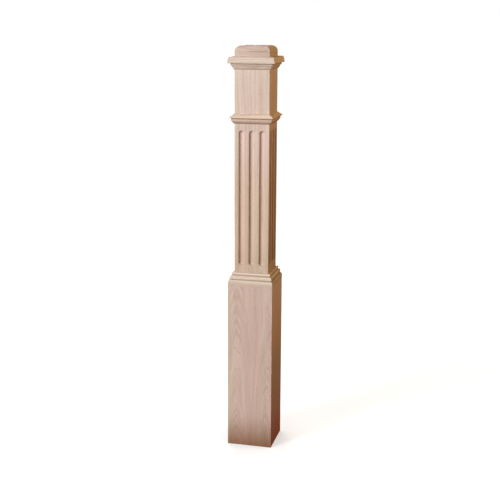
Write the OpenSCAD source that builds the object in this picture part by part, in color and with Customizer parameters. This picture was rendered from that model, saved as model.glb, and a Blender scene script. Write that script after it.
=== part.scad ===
// Box newel post: a hollow post of mitred boards. A wide lower box carries a fluted shaft, three
// mitred mouldings run round the shaft, and a solid block with a rounded top closes it.
// The origin is on the floor under the centre of the post. +Z is up and the front faces -Y.
// Sizes are in millimetres.

/* [Post] */
// Height of the whole post
post_height = 1410; // [1150:5:1600]
// Outside width of the lower box, face to face
box_width = 158.75; // [135:0.25:200]
// Thickness of every board
board_thickness = 19.05; // [16:0.05:23]
// Height of the lower boards, from the floor
lower_height = 594; // [450:1:720]
// Length of the shaft boards inside the lower box
shaft_seat = 76; // [40:1:150]
// Plain length of the shaft between the collar and the cap moulding
neck_length = 145.5; // [100:0.5:200]
// Radius on the long outside edges of the boards
edge_radius = 0.8; // [0.4:0.1:2]

/* [Flutes] */
// Number of flutes on each face of the shaft
flute_count = 3; // [2:1:4]
// Width of a flute at the face
flute_width = 19; // [12:0.5:23]
// Depth of a flute
flute_depth = 7.5; // [4:0.5:9]
// Flat margin beside the outermost flutes
flute_margin = 14.8; // [10:0.1:20]
// Plain face between the base moulding and the flutes
flute_foot_gap = 26; // [15:1:60]
// Plain face between the flutes and the collar
flute_head_gap = 22; // [15:1:60]

/* [Base moulding] */
// Height of the shoulder's upright foot, flush with the lower boards
shoulder_foot = 6.5; // [3:0.5:10]
// Height of the whole shoulder
shoulder_height = 17.2; // [12:0.1:19]
// Radius of the shoulder
shoulder_radius = 20; // [20:0.5:40]
// Height of the groove above the shoulder
lower_quirk_height = 3.2; // [1:0.1:5]
// Depth of the groove above the shoulder
lower_quirk_depth = 3; // [1:0.1:4]
// Upright part of the lower bead
lower_bead_upright = 4; // [1:0.1:8]
// Radius of the lower bead
lower_bead_radius = 8; // [5:0.1:9]
// How far the lower bead stands back from the lower boards' faces
lower_bead_setback = 4.5; // [4:0.1:6]
// Height of the groove between the two beads
upper_quirk_height = 1.8; // [1:0.1:4]
// Depth of the groove between the two beads
upper_quirk_depth = 2; // [1:0.1:3]
// Radius of the half-round upper bead
upper_bead_radius = 4.3; // [2:0.1:4.5]
// How far the upper bead stands back from the lower boards' faces
upper_bead_setback = 10.4; // [8:0.1:11]

/* [Collar] */
// How far the collar's lip stands out from the shaft
collar_lip = 15.2; // [12:0.1:20]
// Height of the lip's upright edge
collar_lip_edge = 2.6; // [1:0.1:6]
// Height of the sloping top above the lip
collar_slope_height = 11.4; // [6:0.1:16]
// How far the collar's lower part stands out from the shaft
collar_fillet = 9.6; // [8:0.1:11]
// Height of the upright band under the lip
collar_fillet_height = 8; // [3:0.1:14]
// Height of the curve under the upright band
collar_curve_height = 12; // [6:0.1:13]
// Radius of that curve
collar_curve_radius = 24; // [13:0.1:30]

/* [Cap moulding] */
// How far the cap moulding's lip stands out from the shaft
cap_lip = 19.8; // [16:0.1:26]
// Height of the lip
cap_lip_height = 21.2; // [14:0.1:26]
// Radius of the lip's bowed front
cap_lip_bow = 60; // [40:1:200]
// Radius on the lip's top edge
cap_lip_edge = 4; // [2:0.1:6]
// How far the cap moulding's lower part stands out from the shaft
cap_fillet = 11.2; // [8:0.1:12]
// Height of the upright band under the lip
cap_fillet_height = 7.8; // [3:0.1:14]
// How far the curve under the upright band stands out from the shaft
cap_curve = 7.9; // [6:0.1:8]
// Height of that curve
cap_curve_height = 13.5; // [6:0.1:14]
// Radius of that curve
cap_curve_radius = 23; // [14:0.1:30]

/* [Cap block] */
// Full height of the block
block_height = 44.5; // [37:0.5:60]
// Height of the block above the cap moulding
block_rise = 36; // [24:0.5:39]
// Radius on the block's top edges
block_round = 19; // [8:0.5:22]

/* [Hidden] */
$fn = 96;
SIDES = ["front", "right", "back", "left"];
LOWER_BOARDS = [for (side = SIDES) str("lower_board_", side)];
SHAFT_BOARDS = [for (side = SIDES) str("shaft_board_", side)];
BASE_MOULDINGS = [for (side = SIDES) str("base_moulding_", side)];
COLLARS = [for (side = SIDES) str("collar_", side)];
CAP_MOULDINGS = [for (side = SIDES) str("cap_moulding_", side)];

BOARD_OAK = [0.85, 0.74, 0.65];
MOULDING_OAK = [0.87, 0.77, 0.67];
BLOCK_OAK = [0.82, 0.70, 0.60];

// The shaft fills the inside of the lower box
shaft_width = box_width - 2 * board_thickness;
shaft_bottom = lower_height - shaft_seat;
shaft_top = post_height - block_height;

// Levels, worked down from the top and up from the lower boards
cap_moulding_height = cap_curve_height + cap_fillet_height + cap_lip_height;
cap_moulding_level = post_height - block_rise - cap_moulding_height;
collar_height = collar_curve_height + collar_fillet_height + collar_lip_edge + collar_slope_height;
collar_level = cap_moulding_level - neck_length - collar_height;
lower_bead_level = shoulder_height + lower_quirk_height;
lower_bead_height = lower_bead_upright + lower_bead_radius;
upper_bead_level = lower_bead_level + lower_bead_height + upper_quirk_height;
base_moulding_height = upper_bead_level + 2 * upper_bead_radius;

// Flutes: the cutter is a ball wider than it is deep, so its centre lies outside the face
flute_radius = (flute_width * flute_width / 4 + flute_depth * flute_depth) / (2 * flute_depth);
flute_pitch = (shaft_width - 2 * flute_margin - flute_width) / (flute_count - 1);
flute_bottom = lower_height + base_moulding_height + flute_foot_gap;
flute_top = collar_level - flute_head_gap;

// Anything longer than half the post's width, for cuts that run right through
reach = box_width;

// Projection of an arc that is upright where height is 0, at some height above or below
function arc_projection(projection, radius, height) =
    projection - radius + sqrt(radius * radius - height * height);

// Square plan with rounded corners
module rounded_square(width, radius) {
    square([width - 2 * radius, width], center = true);
    square([width, width - 2 * radius], center = true);
    for (x = [-1, 1], y = [-1, 1])
        translate([x * (width / 2 - radius), y * (width / 2 - radius)])
            circle(radius);
}

// The quarter of the plan that the front piece fills, between its two mitres
module front_quarter() {
    polygon([[0, 0], [-reach, -reach], [reach, -reach]]);
}

// Turns a front piece round to its own side of the post
module on_side(side) {
    rotate([0, 0, 90 * side])
        children();
}

// A mitred wall board of a box of the given outside width
module mitred_board(width, length) {
    linear_extrude(length)
        intersection() {
            difference() {
                rounded_square(width, edge_radius);
                square(width - 2 * board_thickness, center = true);
            }
            front_quarter();
        }
}

// A mitred length of moulding round the shaft, from an outline with x as the projection from
// the shaft's face and y as the height above the moulding's underside
module mitred_moulding(level) {
    translate([0, 0, level])
        intersection() {
            translate([0, -shaft_width / 2, 0])
                rotate([90, 0, -90])
                    linear_extrude(2 * reach, center = true)
                        children();
            linear_extrude(reach)
                front_quarter();
        }
}

// Outline from the shaft out to an arc of the given radius, upright at its widest, between a
// lower and an upper height measured from that widest level
module arc_band(projection, radius, low, high) {
    intersection() {
        translate([0, low])
            square([projection, high - low]);
        translate([projection - radius, 0])
            circle(radius);
    }
}

// Outline of a convex curve that starts at the shaft and rises to the given width and height
module rising_curve(width, height, radius) {
    chord = sqrt(width * width + height * height);
    back = sqrt(radius * radius - chord * chord / 4);
    intersection() {
        square([width, height]);
        translate([width / 2 - back * height / chord, height / 2 + back * width / chord])
            circle(radius);
    }
}

// Stopped flute with ball ends, in the front face of the shaft
module flute(x) {
    low = flute_bottom + flute_width / 2;
    high = flute_top - flute_width / 2;
    translate([x, -shaft_width / 2 - flute_radius + flute_depth, low]) {
        cylinder(r = flute_radius, h = high - low);
        sphere(flute_radius);
        translate([0, 0, high - low])
            sphere(flute_radius);
    }
}

// Shoulder that springs flush from the lower boards, then two beads, each above a groove
module base_moulding_outline() {
    lower_bead = board_thickness - lower_bead_setback;
    upper_bead = board_thickness - upper_bead_setback;
    square([board_thickness, shoulder_foot]);
    translate([0, shoulder_foot])
        arc_band(board_thickness, shoulder_radius, 0, shoulder_height - shoulder_foot);
    square([lower_bead - lower_quirk_depth, lower_bead_level + lower_bead_upright]);
    translate([0, lower_bead_level])
        square([lower_bead, lower_bead_upright]);
    translate([0, lower_bead_level + lower_bead_upright]) {
        square([lower_bead - lower_bead_radius, lower_bead_radius]);
        arc_band(lower_bead, lower_bead_radius, 0, lower_bead_radius);
    }
    square([upper_bead - upper_quirk_depth, upper_bead_level + upper_bead_radius]);
    translate([0, upper_bead_level])
        square([upper_bead - upper_bead_radius, 2 * upper_bead_radius]);
    translate([0, upper_bead_level + upper_bead_radius])
        arc_band(upper_bead, upper_bead_radius, -upper_bead_radius, upper_bead_radius);
}

// Curve, upright band, then a lip with a sloping top that dies into the shaft
module collar_outline() {
    lip_level = collar_curve_height + collar_fillet_height;
    slope_level = lip_level + collar_lip_edge;
    rising_curve(collar_fillet, collar_curve_height, collar_curve_radius);
    translate([0, collar_curve_height])
        square([collar_fillet, collar_fillet_height]);
    polygon([
        [0, lip_level],
        [collar_lip, lip_level],
        [collar_lip, slope_level],
        [0, slope_level + collar_slope_height]
    ]);
}

// Curve, upright band a step out from it, then a thick lip with a bowed front and a rounded top edge
module cap_moulding_outline() {
    lip_level = cap_curve_height + cap_fillet_height;
    bow_height = cap_lip_height - cap_lip_edge;
    edge_centre = arc_projection(cap_lip, cap_lip_bow, bow_height) - cap_lip_edge;
    rising_curve(cap_curve, cap_curve_height, cap_curve_radius);
    translate([0, cap_curve_height])
        square([cap_fillet, cap_fillet_height]);
    translate([0, lip_level]) {
        arc_band(cap_lip, cap_lip_bow, 0, bow_height);
        square([edge_centre, cap_lip_height]);
        translate([edge_centre, bow_height])
            circle(cap_lip_edge);
    }
}

// One of the four boards of the lower box
module lower_board(side) {
    color(BOARD_OAK)
        on_side(side)
            mitred_board(box_width, lower_height);
}

// One of the four fluted boards of the shaft
module shaft_board(side) {
    color(BOARD_OAK)
        on_side(side)
            difference() {
                translate([0, 0, shaft_bottom])
                    mitred_board(shaft_width, shaft_top - shaft_bottom);
                for (i = [0 : flute_count - 1])
                    flute((i - (flute_count - 1) / 2) * flute_pitch);
            }
}

// One of the four lengths of moulding on top of the lower box
module base_moulding(side) {
    color(MOULDING_OAK)
        on_side(side)
            mitred_moulding(lower_height)
                base_moulding_outline();
}

// One of the four lengths of the collar above the flutes
module collar(side) {
    color(MOULDING_OAK)
        on_side(side)
            mitred_moulding(collar_level)
                collar_outline();
}

// One of the four lengths of moulding round the top of the shaft
module cap_moulding(side) {
    color(MOULDING_OAK)
        on_side(side)
            mitred_moulding(cap_moulding_level)
                cap_moulding_outline();
}

// Outline of the block as seen from one side, with its two top corners rounded
module block_outline() {
    translate([-shaft_width / 2, 0])
        square([shaft_width, block_height - block_round]);
    translate([-shaft_width / 2 + block_round, 0])
        square([shaft_width - 2 * block_round, block_height]);
    for (x = [-1, 1])
        translate([x * (shaft_width / 2 - block_round), block_height - block_round])
            circle(block_round);
}

// Solid block on the shaft boards' top ends, with all four top edges rounded over
module cap_block() {
    color(BLOCK_OAK)
        translate([0, 0, shaft_top])
            intersection() {
                rotate([90, 0, 0])
                    linear_extrude(shaft_width, center = true)
                        block_outline();
                rotate([90, 0, 90])
                    linear_extrude(shaft_width, center = true)
                        block_outline();
                linear_extrude(block_height)
                    rounded_square(shaft_width, edge_radius);
            }
}

for (side = [0 : len(SIDES) - 1]) {
    lower_board(side);
    shaft_board(side);
    base_moulding(side);
    collar(side);
    cap_moulding(side);
}
cap_block();
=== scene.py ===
"""Box newel post in bare red oak, standing on a plain pale floor.

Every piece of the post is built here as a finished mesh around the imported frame: boards with eased
edges and ball-ended flutes, mitred lengths of moulding swept from true arcs, and a block with a
rounded-over top. Each piece has a solid texture of its own, as if cut from one log or glued up from
two, so that growth rings, pores and rays run through faces, profiles and end grain alike.

Meshes, lamps and the camera are in metres. Outlines and the oak are in millimetres.
"""

from math import acos, atan2, cos, degrees, pi, radians, sin, sqrt
from types import SimpleNamespace

import bmesh
import bpy
from mathutils import Matrix, Vector


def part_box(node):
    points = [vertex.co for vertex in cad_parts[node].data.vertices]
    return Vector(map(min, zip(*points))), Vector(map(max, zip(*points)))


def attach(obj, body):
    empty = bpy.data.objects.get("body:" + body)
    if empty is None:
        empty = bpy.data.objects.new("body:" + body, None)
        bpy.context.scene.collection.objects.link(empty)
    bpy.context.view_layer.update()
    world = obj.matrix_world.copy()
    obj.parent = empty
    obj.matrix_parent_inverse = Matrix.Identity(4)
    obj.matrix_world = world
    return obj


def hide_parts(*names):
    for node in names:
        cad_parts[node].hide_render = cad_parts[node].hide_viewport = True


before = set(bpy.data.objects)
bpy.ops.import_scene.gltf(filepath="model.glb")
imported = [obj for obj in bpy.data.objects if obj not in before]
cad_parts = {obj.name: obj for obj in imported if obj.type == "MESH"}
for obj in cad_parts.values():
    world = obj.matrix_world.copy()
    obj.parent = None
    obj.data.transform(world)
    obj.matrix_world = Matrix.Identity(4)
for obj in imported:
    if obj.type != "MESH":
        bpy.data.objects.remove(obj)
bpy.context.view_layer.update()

MM = 0.001
SIDES = ("front", "right", "back", "left")

# ---------------------------------------------------------------- sizes taken from the frame
lower_low, lower_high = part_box("lower_board_front")
shaft_low, shaft_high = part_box("shaft_board_front")
block_low, block_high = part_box("cap_block")
BASE_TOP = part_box("base_moulding_front")[1].z
COLLAR_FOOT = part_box("collar_front")[0].z
BOX_HALF = -lower_low.y                       # half the lower box's width
SHAFT_HALF = -shaft_low.y                     # half the shaft's width
BOARD = lower_high.y - lower_low.y            # board thickness

# ---------------------------------------------------------------- sizes of the finish
EDGE_RADIUS = 0.8 * MM                        # long outside edges of the boards
EDGE_ANGLES = (90, 75, 60, 45)                # points of that edge, from the face to the mitre
EASE = 0.35 * MM                              # sanded arrises of mouldings, flutes and ends
EASE_SHARE = 0.45                             # the most of a short side that one arris takes
EASE_FULLNESS = 0.41                          # how far an arris bulges towards the old corner
JOINT_GAP = 0.04 * MM                         # half the hairline left open at each mitre
ARC_STEP = radians(6)                         # one segment of every outline's arcs
SHARP = radians(32)                           # edges sharper than this keep their crease
SAME_PLACE = 1e-7                             # points closer than this are one point

# Flutes
FLUTE_COUNT = 3
FLUTE_WIDTH = 19 * MM
FLUTE_DEPTH = 7.5 * MM
FLUTE_MARGIN = 14.8 * MM                      # flat face beside the outermost flutes
FLUTE_FOOT_GAP = 26 * MM                      # plain face between base moulding and flutes
FLUTE_HEAD_GAP = 22 * MM                      # plain face between flutes and collar
FLUTE_STEPS = 12                              # segments across half a flute, and round each end
RIM_BEND = 0.25                               # where the rim's middle point lies, as a share of EASE

# Cap block
BLOCK_ROUND = 19 * MM                         # radius of the round-over
BLOCK_STEPS = 16                              # segments of the round-over
BLOCK_CORNER = 2.2 * MM                       # how much the corners soften towards the top
CORNER_STEPS = 4                              # segments of each rounded corner


# ---------------------------------------------------------------- outlines
def arc(centre, radius, start, end):
    """Points along an arc, both ends included. Angles are in degrees, anticlockwise from +x."""
    steps = max(2, round(abs(radians(end - start)) / ARC_STEP))
    turn = [radians(start + (end - start) * i / steps) for i in range(steps + 1)]
    return [(centre[0] + radius * cos(a), centre[1] + radius * sin(a)) for a in turn]


def eased(outline, radius, turn_from=35):
    """The closed outline, with each corner that turns by more than turn_from degrees rounded."""
    out = []
    count = len(outline)
    for i, corner in enumerate(outline):
        here = Vector(corner)
        before = Vector(outline[i - 1]) - here
        after = Vector(outline[(i + 1) % count]) - here
        if before.length < SAME_PLACE or after.length < SAME_PLACE:
            continue
        if 180 - degrees(before.angle(after)) < turn_from:
            out.append(tuple(here))
            continue
        reach = min(radius, EASE_SHARE * before.length, EASE_SHARE * after.length)
        first = here + before.normalized() * reach
        last = here + after.normalized() * reach
        middle = ((first + last) / 2).lerp(here, EASE_FULLNESS)
        out += [tuple(first), tuple(middle), tuple(last)]
    return out


def rising_curve(width, height, radius):
    """A convex arc that starts at the shaft and rises to the given width and height."""
    chord = sqrt(width**2 + height**2)
    back = sqrt(radius**2 - chord**2 / 4)
    x = width / 2 - back * height / chord
    z = height / 2 + back * width / chord
    return arc((x, z), radius, degrees(atan2(-z, -x)), degrees(atan2(height - z, width - x)))


def base_moulding_outline():
    """Shoulder flush with the lower boards, then two beads, each above a groove."""
    wide = BOARD / MM
    foot, shoulder, shoulder_radius = 6.5, 17.2, 20
    lower_setback, upper_setback = 4.5, 10.4
    lower_quirk, lower_depth = 3.2, 3
    upper_quirk, upper_depth = 1.8, 2
    upright, lower_radius, upper_radius = 4, 8, 4.3
    lower_bead = wide - lower_setback
    upper_bead = wide - upper_setback
    lower_level = shoulder + lower_quirk
    lower_top = lower_level + upright + lower_radius
    upper_level = lower_top + upper_quirk
    top = upper_level + 2 * upper_radius
    bend = degrees(atan2(shoulder - foot, sqrt(shoulder_radius**2 - (shoulder - foot) ** 2)))
    points = [(0, 0), (wide, 0)]
    points += arc((wide - shoulder_radius, foot), shoulder_radius, 0, bend)
    groove = lower_bead - lower_depth
    points += [(groove, shoulder), (groove, lower_level), (lower_bead, lower_level)]
    points += arc((lower_bead - lower_radius, lower_level + upright), lower_radius, 0, 90)
    groove = upper_bead - upper_depth
    catch = degrees(acos(1 - upper_depth / upper_radius))
    points += [(groove, lower_top)]
    points += arc((upper_bead - upper_radius, upper_level + upper_radius), upper_radius, -catch, 90)
    points += [(0, top)]
    return points


def collar_outline():
    """Curve, upright band, then a lip whose sloping top dies into the shaft."""
    lip, lip_edge, slope = 15.2, 2.6, 11.4
    fillet, fillet_height = 9.6, 8
    curve_height, curve_radius = 12, 24
    lip_level = curve_height + fillet_height
    points = rising_curve(fillet, curve_height, curve_radius)
    points += [(fillet, lip_level), (lip, lip_level), (lip, lip_level + lip_edge)]
    points += [(0, lip_level + lip_edge + slope)]
    return points


def cap_moulding_outline():
    """Curve, upright band a step out from it, then a thick lip with a bowed front and rounded edge."""
    lip, lip_height, bow, edge = 19.8, 21.2, 60, 4
    fillet, fillet_height = 11.2, 7.8
    curve_width, curve_height, curve_radius = 7.9, 13.5, 23
    lip_level = curve_height + fillet_height
    rise = lip_height - edge
    lean = degrees(atan2(rise, sqrt(bow**2 - rise**2)))
    edge_centre = lip - bow + sqrt(bow**2 - rise**2) - edge
    points = rising_curve(curve_width, curve_height, curve_radius)
    points += [(fillet, curve_height), (fillet, lip_level)]
    points += arc((lip - bow, lip_level), bow, 0, lean)
    points += arc((edge_centre, lip_level + rise), edge, lean, 90)
    points += [(0, lip_level + lip_height)]
    return points


# ---------------------------------------------------------------- meshes
def finished(name, bm, side=0):
    """A new object from bm, turned round to its own side of the post, with its creases kept."""
    bmesh.ops.remove_doubles(bm, verts=bm.verts, dist=SAME_PLACE)
    bmesh.ops.recalc_face_normals(bm, faces=bm.faces)
    bmesh.ops.rotate(bm, verts=bm.verts, cent=(0, 0, 0), matrix=Matrix.Rotation(side * pi / 2, 3, "Z"))
    mesh = bpy.data.meshes.new(name)
    bm.to_mesh(mesh)
    bm.free()
    mesh.shade_smooth()
    mesh.set_sharp_from_angle(angle=SHARP)
    piece = bpy.data.objects.new(name, mesh)
    bpy.context.scene.collection.objects.link(piece)
    return piece


def loft(bm, rings, caps=True):
    """Joins rings of equal length into a skin and returns its vertices ring by ring."""
    made = [[bm.verts.new(p) for p in ring] for ring in rings]
    for low, high in zip(made, made[1:]):
        for i in range(len(low)):
            bm.faces.new((low[i - 1], low[i], high[i], high[i - 1]))
    if caps:
        bm.faces.new(reversed(made[0]))
        bm.faces.new(made[-1])
    return made


def moulding_mesh(name, side, level, outline):
    """A mitred length of moulding round the shaft, swept from its eased outline."""
    bm = bmesh.new()
    points = eased([(p * MM, z * MM) for p, z in outline], EASE)
    rings = []
    for end in (-1, 1):
        rings.append([(end * (SHAFT_HALF + p - JOINT_GAP), -SHAFT_HALF - p, level + z) for p, z in points])
    loft(bm, rings)
    return finished(name, bm, side)


def board_plan(half):
    """Plan of a mitred board: inner face, mitres and the outer face with its rounded edges."""
    inner = half - BOARD
    centre = half - EDGE_RADIUS
    turn = [radians(angle) for angle in EDGE_ANGLES]
    right = [(centre + EDGE_RADIUS * cos(a) - JOINT_GAP, -centre - EDGE_RADIUS * sin(a)) for a in turn]
    left = [(-x, y) for x, y in reversed(right)]
    return left + right + [(inner - JOINT_GAP, -inner), (JOINT_GAP - inner, -inner)]


def shrunk(plan, by):
    """The plan with every point drawn in, along x and along y, for an eased end."""
    middle = sum(y for _, y in plan) / len(plan)
    return [(x - by if x > 0 else x + by, y - by if y > middle else y + by) for x, y in plan]


def board_rings(half, low, high):
    """Plans of a board from its lower end to its upper end, with both ends eased."""
    plan = board_plan(half)
    end = shrunk(plan, EASE)
    levels = ((end, low), (plan, low + EASE), (plan, high - EASE), (end, high))
    return [[(x, y, z) for x, y in shape] for shape, z in levels]


def plain_board_mesh(name, side, half, low, high):
    """A mitred board without flutes."""
    bm = bmesh.new()
    loft(bm, board_rings(half, low, high))
    return finished(name, bm, side)


def flute_rings(x, low, high, face):
    """Rings of one flute, from its eased rim on the face down to the line along its bottom."""
    half = FLUTE_WIDTH / 2
    ball = (half**2 + FLUTE_DEPTH**2) / (2 * FLUTE_DEPTH)
    rim = sqrt(ball**2 - (ball - FLUTE_DEPTH + EASE) ** 2)
    section = [(half + EASE, 0), (half + RIM_BEND * EASE, RIM_BEND * EASE), (rim, EASE)]
    for i in range(1, FLUTE_STEPS):
        across = rim * cos(pi / 2 * i / FLUTE_STEPS)
        section.append((across, sqrt(ball**2 - across**2) - ball + FLUTE_DEPTH))
    section.append((0, FLUTE_DEPTH))
    around = [pi + pi * i / FLUTE_STEPS for i in range(FLUTE_STEPS + 1)]
    rings = []
    for across, depth in section:
        ring = [(x + across * cos(a), face + depth, low + half + across * sin(a)) for a in around]
        ring += [(x - across * cos(a), face + depth, high - half - across * sin(a)) for a in around]
        rings.append(ring)
    return rings


def fluted_board_mesh(name, side, half, low, high, flute_low, flute_high):
    """A shaft board: the plain board's skin, with its outer face filled round the flutes."""
    bm = bmesh.new()
    made = loft(bm, board_rings(half, low, high))
    sill, head = made[1], made[2]
    start = len(EDGE_ANGLES)
    face = bm.faces.get((sill[start - 1], sill[start], head[start], head[start - 1]))
    border = list(face.edges)
    bmesh.ops.delete(bm, geom=[face], context="FACES_ONLY")
    pitch = (2 * half - 2 * FLUTE_MARGIN - FLUTE_WIDTH) / (FLUTE_COUNT - 1)
    for i in range(FLUTE_COUNT):
        x = (i - (FLUTE_COUNT - 1) / 2) * pitch
        rings = loft(bm, flute_rings(x, flute_low, flute_high, -half), caps=False)
        rim = rings[0]
        border += [bm.edges.get((rim[i - 1], rim[i])) for i in range(len(rim))]
    bmesh.ops.triangle_fill(bm, use_beauty=True, edges=border)
    bmesh.ops.dissolve_degenerate(bm, dist=SAME_PLACE, edges=bm.edges)
    return finished(name, bm, side)


def rounded_square(half, radius, z):
    """Ring of a square plan with rounded corners."""
    ring = []
    centre = half - radius
    for quarter, (x, y) in enumerate(((1, 1), (-1, 1), (-1, -1), (1, -1))):
        for i in range(CORNER_STEPS + 1):
            a = pi / 2 * (quarter + i / CORNER_STEPS)
            ring.append((x * centre + radius * cos(a), y * centre + radius * sin(a), z))
    return ring


def block_mesh(name):
    """The cap block: upright sides, then a round-over on all four top edges."""
    half = block_high.x
    bm = bmesh.new()
    rings = [rounded_square(half - EASE, EDGE_RADIUS, block_low.z)]
    rings.append(rounded_square(half, EDGE_RADIUS, block_low.z + EASE))
    for i in range(BLOCK_STEPS + 1):
        a = pi / 2 * i / BLOCK_STEPS
        inset = BLOCK_ROUND * (1 - cos(a))
        corner = EDGE_RADIUS + BLOCK_CORNER * sin(a)
        rings.append(rounded_square(half - inset, corner, block_high.z - BLOCK_ROUND * (1 - sin(a))))
    loft(bm, rings)
    return finished(name, bm)


# ---------------------------------------------------------------- shader nodes
class Nodes:
    """Adds nodes to one tree. Every method but add returns a single output."""

    def __init__(self, tree):
        self.tree = tree

    def add(self, kind, values, **settings):
        """A new node with its sockets linked or set, and its settings. Returns all its outputs."""
        node = self.tree.nodes.new("ShaderNode" + kind)
        for name, setting in settings.items():
            setattr(node, name, setting)
        for socket, value in values.items():
            if isinstance(value, bpy.types.NodeSocket):
                self.tree.links.new(value, node.inputs[socket])
            else:
                node.inputs[socket].default_value = value
        return node.outputs

    def math(self, operation, *values):
        return self.add("Math", dict(enumerate(values)), operation=operation)[0]

    def vector(self, operation, *values):
        outputs = self.add("VectorMath", dict(enumerate(values)), operation=operation)
        return outputs["Value" if operation in ("LENGTH", "DOT_PRODUCT") else "Vector"]

    def scaled(self, vector, scale):
        return self.add("VectorMath", {0: vector, "Scale": scale}, operation="SCALE")["Vector"]

    def stretch(self, place, cell):
        """Coordinates counted in cells, whose size is given across and along the grain."""
        across, along = cell
        return self.vector("DIVIDE", place, (across, across, along))

    def noise(self, place, detail=2, output="Fac"):
        return self.add("TexNoise", {"Vector": place, "Scale": 1, "Detail": detail})[output]

    def cells(self, place):
        """Distance to the nearest of many scattered points."""
        return self.add("TexVoronoi", {"Vector": place, "Scale": 1})["Distance"]

    def ease(self, value, low, high, first=0, last=1):
        """Goes smoothly from first at low to last at high."""
        values = {"Value": value, 1: low, 2: high, 3: first, 4: last}
        return self.add("MapRange", values, interpolation_type="SMOOTHSTEP")["Result"]

    def mix(self, factor, a, b):
        return self.add("Mix", {0: factor, 6: a, 7: b}, data_type="RGBA")[2]

    def tint(self, colour, factor, tone):
        """Multiplies the colour by tone, as far as factor says."""
        return self.add("Mix", {0: factor, 6: colour, 7: tone}, data_type="RGBA", blend_type="MULTIPLY")[2]

    def distance(self, value, level):
        """How far the value is from a level, on either side."""
        return self.math("ABSOLUTE", self.math("SUBTRACT", value, level))


def new_material(name):
    """A new material, with the Nodes that fill it and the sockets of its surface."""
    material = bpy.data.materials.new(name)
    material.use_nodes = True
    tree = material.node_tree
    return material, Nodes(tree), tree.nodes["Principled BSDF"].inputs


# ---------------------------------------------------------------- oak
# Colours of the wood, and tones multiplied into it, painted shade among them
EARLY_WOOD = (0.565, 0.445, 0.366, 1)
LATE_WOOD = (0.635, 0.515, 0.440, 1)
PINK = (1.03, 0.975, 0.965, 1)
STRAW = (0.985, 0.995, 0.92, 1)
PORE = (0.50, 0.38, 0.30, 1)
RAY = (0.80, 0.69, 0.60, 1)
END_GRAIN = (0.97, 0.98, 0.90, 1)
# painted shade with a painted cool reflection, for faces that look straight up
TOP_SHADE_AND_REFLECTION = (0.80, 0.80, 0.83, 1)
# painted shade in grooves and under lips
GROOVE_SHADE = (0.72, 0.67, 0.60, 1)
MINERAL = (0.60, 0.57, 0.56, 1)

# Cells of each pattern, across and along the grain
SWAY_CELL = (80, 380)
RIPPLE_CELL = (16, 110)
VESSEL_CELL = (0.62, 10)
FIBRE_CELL = (1.1, 75)
STREAK_CELL = (8, 520)
PATCH_CELL = (34, 700)
FOOT_CELL = (9, 60)
MINERAL_CELL = (30, 30)

# Growth rings
SWAY = 16                                     # how far the slow bends move a ring
RIPPLE = 1.6                                  # how far the quick bends move it
UNEVEN_CELL = 17                              # radius over which rings stay alike in width
UNEVEN = 2.6                                  # how many rings that unevenness can shift
EARLY_FADE = (0.16, 0.56)                     # part of a ring where early wood turns late
RING_EDGE = (0.84, 1.0)                       # part of a ring where its last wood darkens
RING_EDGE_TONE = 0.06                         # how much it darkens
YEAR_TONE = 0.12                              # spread of tone from year to year
EVEN_SHARE = 0.4                              # share of early wood's colour where no ring shows

# Vessels and rays
VESSEL_REACH = (0.13, 0.25)                   # size in late wood, and what early wood adds, in cells
VESSEL_SOFTNESS = 0.14                        # width of a vessel's soft edge, in cells
PORE_TINT = (0.35, 0.4)                       # strength without figure, and what full figure adds
RAY_TURNS = 60                                # units round the pith in one radian
RAY_DEPTH = 70                                # millimetres outwards in one unit
RAY_CELL = (1.5, 1, 30)                       # units round, units outwards and millimetres along
RAY_SIZE, RAY_SOFTNESS, RAY_TINT = 0.15, 0.05, 0.55

# Slow changes: range of the noise that counts, and the tones at its ends
STREAK_TONE = (0.3, 0.7, 0.95, 1.05)
FIBRE_TONE = (0.25, 0.75, 0.95, 1.05)
PATCH_FADE = (0.35, 0.65)

# Surfaces, joints and heights
END_FACING = (0.5, 0.95)                      # how squarely a face lies across the grain
TOP_FACING = (0.96, 1.0)                      # how squarely a face looks up, for the painted top shade
SEAM_LINE = (0.10, 0.22, 0.5, 0)              # distances from a glued joint, and its tint at each
FOOT_FADE = (-20, 150)                        # heights where the painted shade at the foot would be full and gone
FOOT_WANDER = 22                              # how unevenly it fades
GROOVE_CORE = 0.6                             # part of a groove that has the full painted shade
MINERAL_WANDER = 2                            # how far the streak strays up and down
MINERAL_FADE = 15                             # length over which each end fades

# Relief
RELIEF_PORE, RELIEF_FIBRE, RELIEF_EARLY = -0.7, 0.5, -0.15
RELIEF_STRENGTH, RELIEF_DEPTH = 0.45, 0.14 * MM
ROUGHNESS, ROUGH_PORE, ROUGH_EARLY = 0.54, 0.12, 0.08
SHEEN = 0.28                                  # specular level of sanded, unfinished wood


class Log:
    """Where a piece was cut from its tree, along the piece's own axes.

    pith is the heart's place across and through the piece where along is 0, and lean is how far it
    moves for each millimetre along the grain. ring is the mean width of a growth ring, and figure
    is how strongly the rings show. A glued piece takes its ring and figure from its first log.
    """

    def __init__(self, pith, lean, ring=3.4, seed=0, figure=1.0):
        self.pith = (*pith, 0)
        self.lean = (*lean, 0)
        self.ring = ring
        self.seed = seed
        self.offset = (seed, 0, 100.0 * seed)
        self.figure = figure


class Tones:
    """Tones multiplied into one kind of piece, by height above its visible foot.

    whole is the tone of the whole piece, and foot that of its lower end: painted shade, darker and
    redder towards the floor. Each band is the height where its tone is full, the height where it is
    gone, and the tone. Each groove shade is painted shade at a groove or under a lip: its height and
    half its width. mineral is a streak's height and thickness, then its start and end along the grain.
    """

    def __init__(self, whole, foot=None, bands=(), groove_shades=(), mineral=None):
        self.whole = whole
        self.foot = foot
        self.bands = bands
        self.groove_shades = groove_shades
        self.mineral = mineral


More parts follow.
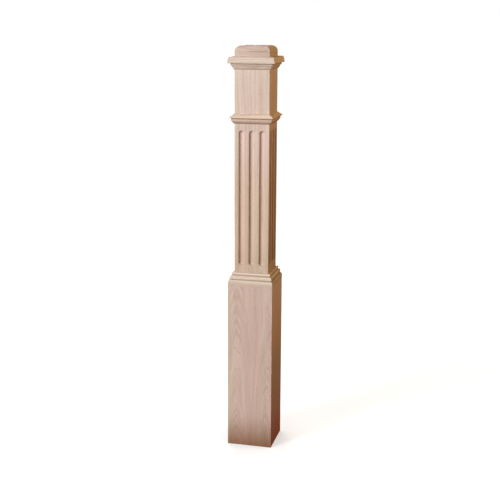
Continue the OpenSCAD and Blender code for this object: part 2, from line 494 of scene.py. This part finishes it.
def grain_place(n, side, axes):
    """Place in the piece's own axes: across the face, through it, along the grain."""
    place = n.add("TexCoord", {})["Object"]
    turn = {"Vector": place, "Rotation": (0, 0, -side * pi / 2), "Scale": (1 / MM, 1 / MM, 1 / MM)}
    x, y, z = n.add("SeparateXYZ", {0: n.add("Mapping", turn)[0]})
    named = {"x": x, "y": y, "z": z}
    return n.add("CombineXYZ", {i: named[axis] for i, axis in enumerate(axes)})[0]


def place_in_log(n, place, logs, seam):
    """Place measured from the pith of the log, bent as a tree bends, and the log's own offset."""
    across, _, along = n.add("SeparateXYZ", {0: place})
    first, last = logs[0], logs[-1]
    second = 0.0 if seam is None else n.math("GREATER_THAN", across, seam)

    def either(a, b):
        return n.add("Mix", {0: second, 4: a, 5: b}, data_type="VECTOR")[1]

    offset = either(first.offset, last.offset)
    moved = n.vector("ADD", place, offset)
    tree = n.vector("SUBTRACT", place, either(first.pith, last.pith))
    tree = n.vector("SUBTRACT", tree, n.scaled(either(first.lean, last.lean), along))
    for cell, reach in ((SWAY_CELL, SWAY), (RIPPLE_CELL, RIPPLE)):
        bend = n.vector("SUBTRACT", n.noise(n.stretch(moved, cell), 2, "Color"), (0.5, 0.5, 0.5))
        tree = n.vector("ADD", tree, n.vector("MULTIPLY", bend, (reach, reach, 0)))
    return tree, offset


def grain_at(n, tree, offset, log):
    """What the wood is like at a place in its log. Every feature but fibres runs from 0 to 1."""
    grain = SimpleNamespace(fibres=n.vector("ADD", tree, offset))
    radius = n.vector("LENGTH", n.vector("MULTIPLY", tree, (1, 1, 0)))

    # growth rings: porous early wood that fades into dense late wood
    uneven = {"W": n.math("DIVIDE", radius, UNEVEN_CELL), "Detail": 1}
    uneven = n.add("TexNoise", uneven, noise_dimensions="1D")[0]
    rings = n.math("MULTIPLY_ADD", uneven, UNEVEN, n.math("DIVIDE", radius, log.ring))
    stage = n.math("FRACT", rings)
    grain.early = n.ease(stage, *EARLY_FADE, 1, 0)
    grain.ring_edge = n.ease(stage, *RING_EDGE)
    year = {"W": n.math("ADD", n.math("FLOOR", rings), 7.0 * log.seed)}
    grain.year = n.add("TexWhiteNoise", year, noise_dimensions="1D")[0]

    # vessels, which are widest in early wood
    late, more = VESSEL_REACH
    reach = n.math("MULTIPLY_ADD", grain.early, more, late)
    vessel = n.cells(n.stretch(grain.fibres, VESSEL_CELL))
    grain.pore = n.ease(n.math("SUBTRACT", reach, vessel), 0.0, VESSEL_SOFTNESS)

    # rays, which run outwards from the pith
    x, y, z = n.add("SeparateXYZ", {0: tree})
    turns = n.math("MULTIPLY", n.math("ARCTAN2", y, x), RAY_TURNS)
    wedge = n.add("CombineXYZ", {0: turns, 1: n.math("DIVIDE", radius, RAY_DEPTH), 2: z})[0]
    ray = n.cells(n.vector("DIVIDE", n.vector("ADD", wedge, offset), RAY_CELL))
    grain.ray = n.ease(n.math("SUBTRACT", RAY_SIZE, ray), 0.0, RAY_SOFTNESS)

    # fibres, and the slow changes between them
    grain.fibre = n.noise(n.stretch(grain.fibres, FIBRE_CELL), 3)
    grain.streak = n.noise(n.stretch(grain.fibres, STREAK_CELL), 3)
    grain.patch = n.noise(n.stretch(grain.fibres, PATCH_CELL), 2)
    return grain


def grain_colour(n, grain, figure):
    """Colour of the wood itself."""
    share = n.math("MULTIPLY_ADD", grain.early, figure, EVEN_SHARE * (1 - figure))
    colour = n.mix(share, LATE_WOOD, EARLY_WOOD)
    spread = YEAR_TONE * figure
    colour = n.tint(colour, 1.0, n.math("MULTIPLY_ADD", grain.year, spread, 1 - spread / 2))
    colour = n.tint(colour, 1.0, n.ease(grain.ring_edge, 0, 1, 1, 1 - RING_EDGE_TONE * figure))
    colour = n.tint(colour, 1.0, n.ease(grain.streak, *STREAK_TONE))
    colour = n.tint(colour, 1.0, n.ease(grain.fibre, *FIBRE_TONE))
    colour = n.tint(colour, 1.0, n.mix(n.ease(grain.patch, *PATCH_FADE), STRAW, PINK))
    colour = n.tint(colour, n.math("MULTIPLY", grain.ray, RAY_TINT), RAY)
    plain, more = PORE_TINT
    return n.tint(colour, n.math("MULTIPLY", grain.pore, plain + more * figure), PORE)


def facing_tones(n, colour, side, axes):
    """End grain on faces across the grain, and painted shade with a painted cool reflection, a greyer
    tone, on faces that look straight up.
    """
    normal = n.add("TexCoord", {})["Normal"]
    turn = {"Vector": normal, "Rotation": (0, 0, -side * pi / 2)}
    turned = n.add("Mapping", turn, vector_type="NORMAL")[0]
    grain_axis = [float(axis == axes[2]) for axis in "xyz"]
    end = n.math("ABSOLUTE", n.vector("DOT_PRODUCT", turned, grain_axis))
    colour = n.tint(colour, n.ease(end, *END_FACING), END_GRAIN)
    # painted shade and a painted cool reflection on faces that look straight up
    upward = n.add("SeparateXYZ", {0: normal})[2]
    return n.tint(colour, n.ease(upward, *TOP_FACING), TOP_SHADE_AND_REFLECTION)


def height_tones(n, colour, tones, height, fibres):
    """The painted shade at the foot, the bands, and the painted shade in the grooves of one kind of piece.
    """
    # painted shade, darker and redder towards the floor
    if tones.foot:
        wander = n.noise(n.stretch(fibres, FOOT_CELL), 2)
        fading = n.math("MULTIPLY_ADD", wander, FOOT_WANDER, height)
        colour = n.tint(colour, n.ease(fading, *FOOT_FADE, 1, 0), tones.foot)
    for full, gone, tone in tones.bands:
        fade = (full, gone, 1, 0) if full < gone else (gone, full, 0, 1)
        colour = n.tint(colour, n.ease(height, *fade), tone)
    # painted shade in grooves and under lips
    for level, half in tones.groove_shades:
        offset = n.distance(height, level)
        colour = n.tint(colour, n.ease(offset, GROOVE_CORE * half, half, 1, 0), GROOVE_SHADE)
    return colour


def mineral_streak(n, colour, streak, place, height, offset):
    """A dark streak along the grain, which wanders up and down and fades out at both ends."""
    level, thickness, start, stop = streak
    along = n.add("SeparateXYZ", {0: place})[2]
    stray = n.noise(n.stretch(n.vector("ADD", place, offset), MINERAL_CELL), 2)
    stray = n.math("MULTIPLY_ADD", stray, 2 * MINERAL_WANDER, -MINERAL_WANDER)
    away = n.distance(n.math("ADD", height, stray), level)
    begun = n.ease(along, start, start + MINERAL_FADE)
    ended = n.ease(along, stop - MINERAL_FADE, stop, 1, 0)
    amount = n.math("MULTIPLY", n.math("MULTIPLY", begun, ended), n.ease(away, 0, thickness, 1, 0))
    return n.tint(colour, amount, MINERAL)


def oak(name, side, axes, logs, tones, seam=None, foot_level=0):
    """Bare, sanded red oak as a solid texture, so that every face shows the same tree, with painted shade
    and painted highlights laid on by its tones.

    axes names the directions across, through and along the piece. Where seam is given, the piece is
    glued up from two logs that meet there. foot_level is the height of the piece's visible foot.
    """
    material, n, surface = new_material(name)
    place = grain_place(n, side, axes)
    directions = n.add("SeparateXYZ", {0: place})
    height = n.math("SUBTRACT", directions[axes.index("z")], foot_level / MM)
    tree, offset = place_in_log(n, place, logs, seam)
    grain = grain_at(n, tree, offset, logs[0])

    colour = grain_colour(n, grain, logs[0].figure)
    colour = facing_tones(n, colour, side, axes)
    if seam is not None:
        colour = n.tint(colour, n.ease(n.distance(directions[0], seam), *SEAM_LINE), PORE)
    colour = height_tones(n, colour, tones, height, grain.fibres)
    if tones.mineral:
        colour = mineral_streak(n, colour, tones.mineral, place, height, offset)
    colour = n.tint(colour, 1.0, tones.whole)

    relief = n.math("MULTIPLY_ADD", grain.pore, RELIEF_PORE, n.math("MULTIPLY", grain.fibre, RELIEF_FIBRE))
    relief = n.math("MULTIPLY_ADD", grain.early, RELIEF_EARLY, relief)
    bump = {"Height": relief, "Strength": RELIEF_STRENGTH, "Distance": RELIEF_DEPTH}
    rough = n.math("MULTIPLY_ADD", grain.pore, ROUGH_PORE, ROUGHNESS)
    rough = n.math("MULTIPLY_ADD", grain.early, ROUGH_EARLY, rough)
    n.tree.links.new(colour, surface["Base Color"])
    n.tree.links.new(rough, surface["Roughness"])
    n.tree.links.new(n.add("Bump", bump)[0], surface["Normal"])
    surface["Specular IOR Level"].default_value = SHEEN
    return material


# ---------------------------------------------------------------- the post
# darker and redder towards the floor: painted shade
LOWER = Tones((0.925, 0.90, 0.885, 1), foot=(0.42, 0.25, 0.13, 1))
# The right board alone: painted light that brightens and cools its upper part, and painted shade that
# makes its foot and lower part darker and redder.
RIGHT_LOWER_WITH_PAINTED_LIGHT = Tones(
    LOWER.whole,
    foot=(0.83, 0.46, 0.38, 1),
    bands=(
        (560, 380, (1.05, 1.10, 1.24, 1)),
        (420, 260, (1.24, 1.22, 1.13, 1)),
        (40, 300, (1.01, 0.83, 0.90, 1)),
    ),
)
SHAFT = Tones(
    (1.0, 1.0, 1.0, 1),
    bands=(
        (263.2, 493.2, (0.915, 0.896, 0.805, 1)),
        (18.2, 123.2, (0.92, 0.91, 0.89, 1)),
    ),
)
BASE_MOULDING = Tones(
    (1.14, 1.20, 1.16, 1),
    bands=((14, 22, (0.86, 0.83, 0.82, 1)),),
    # painted shade in the two quirks under the beads
    groove_shades=((19.2, 2.6), (33.6, 2.2)),
)
# painted shade under the lip and where the curve meets the shaft
COLLAR = Tones((0.98, 0.99, 0.91, 1), groove_shades=((17.3, 2.7), (0.5, 4.0)))
CAP_MOULDING = Tones((0.99, 1.03, 0.99, 1))
BLOCK = Tones(
    (0.87, 0.84, 0.80, 1),
    # painted highlight, lighter and bluer, over the upper part of the round-over
    bands=((42.5, 32.5, (1.20, 1.27, 1.38, 1)),),
    mineral=(25.5, 2.4, -20, 60),
)

# Logs of each board, in the order of SIDES, and where across the board they are glued together
LOWER_LOGS = (
    ((Log((-50, -34), (0.0, 0.045), seed=1, figure=0.6), Log((60, -40), (0.004, 0.035), seed=2)), 18),
    ((Log((34, -30), (-0.01, 0.05), seed=3), Log((-70, -40), (0.0, 0.045), seed=4)), -22),
    ((Log((-40, -44), (0.006, 0.055), seed=5), Log((48, -36), (0.0, 0.05), seed=6)), 6),
    ((Log((50, -40), (0.0, 0.05), seed=7), Log((-52, -44), (0.0, 0.06), seed=8)), -14),
)
SHAFT_LOGS = (
    ((Log((-130, 20), (0.0, 0.02), seed=11, figure=0.6), Log((34, -20), (0.0, 0.012), seed=12)), 12),
    ((Log((80, -10), (0.0, 0.03), seed=13), Log((-50, 0), (0.01, 0.03), seed=14)), -16),
    ((Log((-20, -24), (0.0, 0.035), seed=15), Log((60, -10), (0.0, 0.02), seed=16)), 20),
    ((Log((60, 0), (0.0, 0.03), seed=17), Log((-60, 10), (0.0, 0.02), seed=18)), 8),
)
MOULDING_LEAN = (0.02, 0.03)
MOULDING_RING = 2.6
BLOCK_LOG = Log((90, 1250), (0.03, -0.03), ring=3.0, seed=50, figure=0.5)


def install(piece, node, material):
    """Gives the piece its wood and its place in the frame."""
    piece.data.materials.append(material)
    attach(piece, "root")
    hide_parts(node)


def add_lower_board(index, side):
    logs, seam = LOWER_LOGS[index]
    piece = plain_board_mesh("lower_wall_" + side, index, BOX_HALF, lower_low.z, lower_high.z)
    tones = RIGHT_LOWER_WITH_PAINTED_LIGHT if side == "right" else LOWER
    wood = oak("lower_oak_" + side, index, "xyz", logs, tones, seam)
    install(piece, "lower_board_" + side, wood)


def add_shaft_board(index, side):
    logs, seam = SHAFT_LOGS[index]
    heights = (shaft_low.z, shaft_high.z, BASE_TOP + FLUTE_FOOT_GAP, COLLAR_FOOT - FLUTE_HEAD_GAP)
    piece = fluted_board_mesh("shaft_wall_" + side, index, SHAFT_HALF, *heights)
    wood = oak("shaft_oak_" + side, index, "xyz", logs, SHAFT, seam, BASE_TOP)
    install(piece, "shaft_board_" + side, wood)


def add_moulding(name, node, outline, tones, pith, seed):
    """Four mitred lengths of one moulding, each from a log of its own."""
    for index, side in enumerate(SIDES):
        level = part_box(node + side)[0].z
        piece = moulding_mesh(f"{name}_profile_{side}", index, level, outline)
        log = Log(pith, MOULDING_LEAN, ring=MOULDING_RING, seed=seed + index)
        wood = oak(f"{name}_oak_{side}", index, "zyx", (log,), tones, foot_level=level)
        install(piece, node + side, wood)


def add_block():
    wood = oak("block_oak", 0, "yzx", (BLOCK_LOG,), BLOCK, foot_level=block_low.z)
    install(block_mesh("top_block"), "cap_block", wood)


for index, side in enumerate(SIDES):
    add_lower_board(index, side)
    add_shaft_board(index, side)
add_moulding("base", "base_moulding_", base_moulding_outline(), BASE_MOULDING, pith=(680, -150), seed=20)
add_moulding("collar", "collar_", collar_outline(), COLLAR, pith=(1260, -140), seed=30)
add_moulding("cap", "cap_moulding_", cap_moulding_outline(), CAP_MOULDING, pith=(1290, -170), seed=40)
add_block()

# ---------------------------------------------------------------- floor, light and camera
FLOOR_REACH = 400                             # far enough that its edge is never seen
FLOOR_COLOUR = (0.34, 0.34, 0.34, 1)
FLOOR_GLOW = (0.8, 5.0, 0.80, 1.02)           # distances from the post, and the glow at each
MOTTLE_SCALE = 9                              # faint patches in a metre
MOTTLE = (0.3, 0.7, 0.985, 1.0)               # range of their noise, and the glow at each end
SHADOW_REACH = 0.22                           # how far the soft contact shadow spreads
SHADOW = (0.35, 1.0, 0.70, 1.0)               # how open the air is, and the glow at each end
ROOM_COLOUR = (1.0, 0.44, 0.27, 1)
ROOM_LIGHT = 0.16


def add_floor():
    """A wide pale floor that glows a little, so that it meets the backdrop without a line."""
    bm = bmesh.new()
    bmesh.ops.create_grid(bm, x_segments=1, y_segments=1, size=FLOOR_REACH)
    mesh = bpy.data.meshes.new("studio_floor")
    bm.to_mesh(mesh)
    bm.free()
    floor = bpy.data.objects.new("studio_floor", mesh)
    bpy.context.scene.collection.objects.link(floor)
    material, n, surface = new_material("pale_floor")
    place = n.add("TexCoord", {})["Object"]
    mottle = n.ease(n.noise(n.scaled(place, MOTTLE_SCALE), 3), *MOTTLE)
    open_air = n.add("AmbientOcclusion", {"Distance": SHADOW_REACH})["AO"]
    glow = n.math("MULTIPLY", mottle, n.ease(n.vector("LENGTH", place), *FLOOR_GLOW))
    glow = n.math("MULTIPLY", glow, n.ease(open_air, *SHADOW))
    n.tree.links.new(n.add("CombineColor", {0: glow, 1: glow, 2: glow})[0], surface["Emission Color"])
    surface["Emission Strength"].default_value = 1
    surface["Base Color"].default_value = FLOOR_COLOUR
    surface["Roughness"].default_value = 0.9
    surface["Specular IOR Level"].default_value = 0
    mesh.materials.append(material)
    floor.visible_diffuse = False
    floor.visible_glossy = False


def add_world():
    """A white backdrop for the camera, and a dim warm room for the light that fills the shadows."""
    world = bpy.data.worlds.new("studio")
    bpy.context.scene.world = world
    world.use_nodes = True
    n = Nodes(world.node_tree)
    n.tree.nodes.clear()
    room = n.add("Background", {"Color": ROOM_COLOUR, "Strength": ROOM_LIGHT})[0]
    backdrop = n.add("Background", {"Color": (1, 1, 1, 1), "Strength": 1.0})[0]
    seen = n.add("LightPath", {})["Is Camera Ray"]
    n.add("OutputWorld", {"Surface": n.add("MixShader", {0: seen, 1: room, 2: backdrop})[0]})


def add_lamp(name, place, target, size, power, colour):
    """A square soft lamp at place that faces a point at the height of target on the post's axis."""
    lamp = bpy.data.lights.new(name, "AREA")
    lamp.size = size
    lamp.energy = power
    lamp.color = colour
    holder = bpy.data.objects.new(name, lamp)
    holder.location = place
    facing = Vector((0, 0, target)) - Vector(place)
    holder.rotation_euler = facing.to_track_quat("-Z", "Y").to_euler()
    bpy.context.scene.collection.objects.link(holder)


def add_camera():
    """The camera stands a little to the right of the front, above the post, and looks down on it."""
    azimuth, distance, height = radians(13.581), 3.4371, 1.5185
    pan, pitch, roll = radians(0.317), radians(13.323), radians(0.225)
    camera = bpy.data.cameras.new("camera")
    camera.sensor_width = 36
    camera.lens = 72.39528
    camera.clip_end = 200
    holder = bpy.data.objects.new("camera", camera)
    turn = Matrix.Rotation(azimuth + pan, 4, "Z") @ Matrix.Rotation(pi / 2 - pitch, 4, "X")
    place = Matrix.Translation((distance * sin(azimuth), -distance * cos(azimuth), height))
    holder.matrix_world = place @ turn @ Matrix.Rotation(roll, 4, "Z")
    bpy.context.scene.collection.objects.link(holder)
    bpy.context.scene.camera = holder


add_floor()
add_world()
add_lamp("key", (-3.3, -4.4, 3.15), target=1.0, size=2.0, power=342, colour=(0.92, 1.01, 1.15))
add_lamp("front_fill", (-1.2, -4.4, 1.4), target=0.9, size=3.0, power=74, colour=(1.0, 0.94, 0.83))
add_lamp("warm_fill", (1.75, 0.4, 2.1), target=1.2, size=0.7, power=20, colour=(1.0, 0.74, 0.38))
add_lamp("back_light", (-1.6, 3.0, 2.0), target=0.8, size=1.4, power=85, colour=(1.0, 0.96, 0.92))
add_camera()
bpy.context.scene.view_settings.view_transform = "Standard"
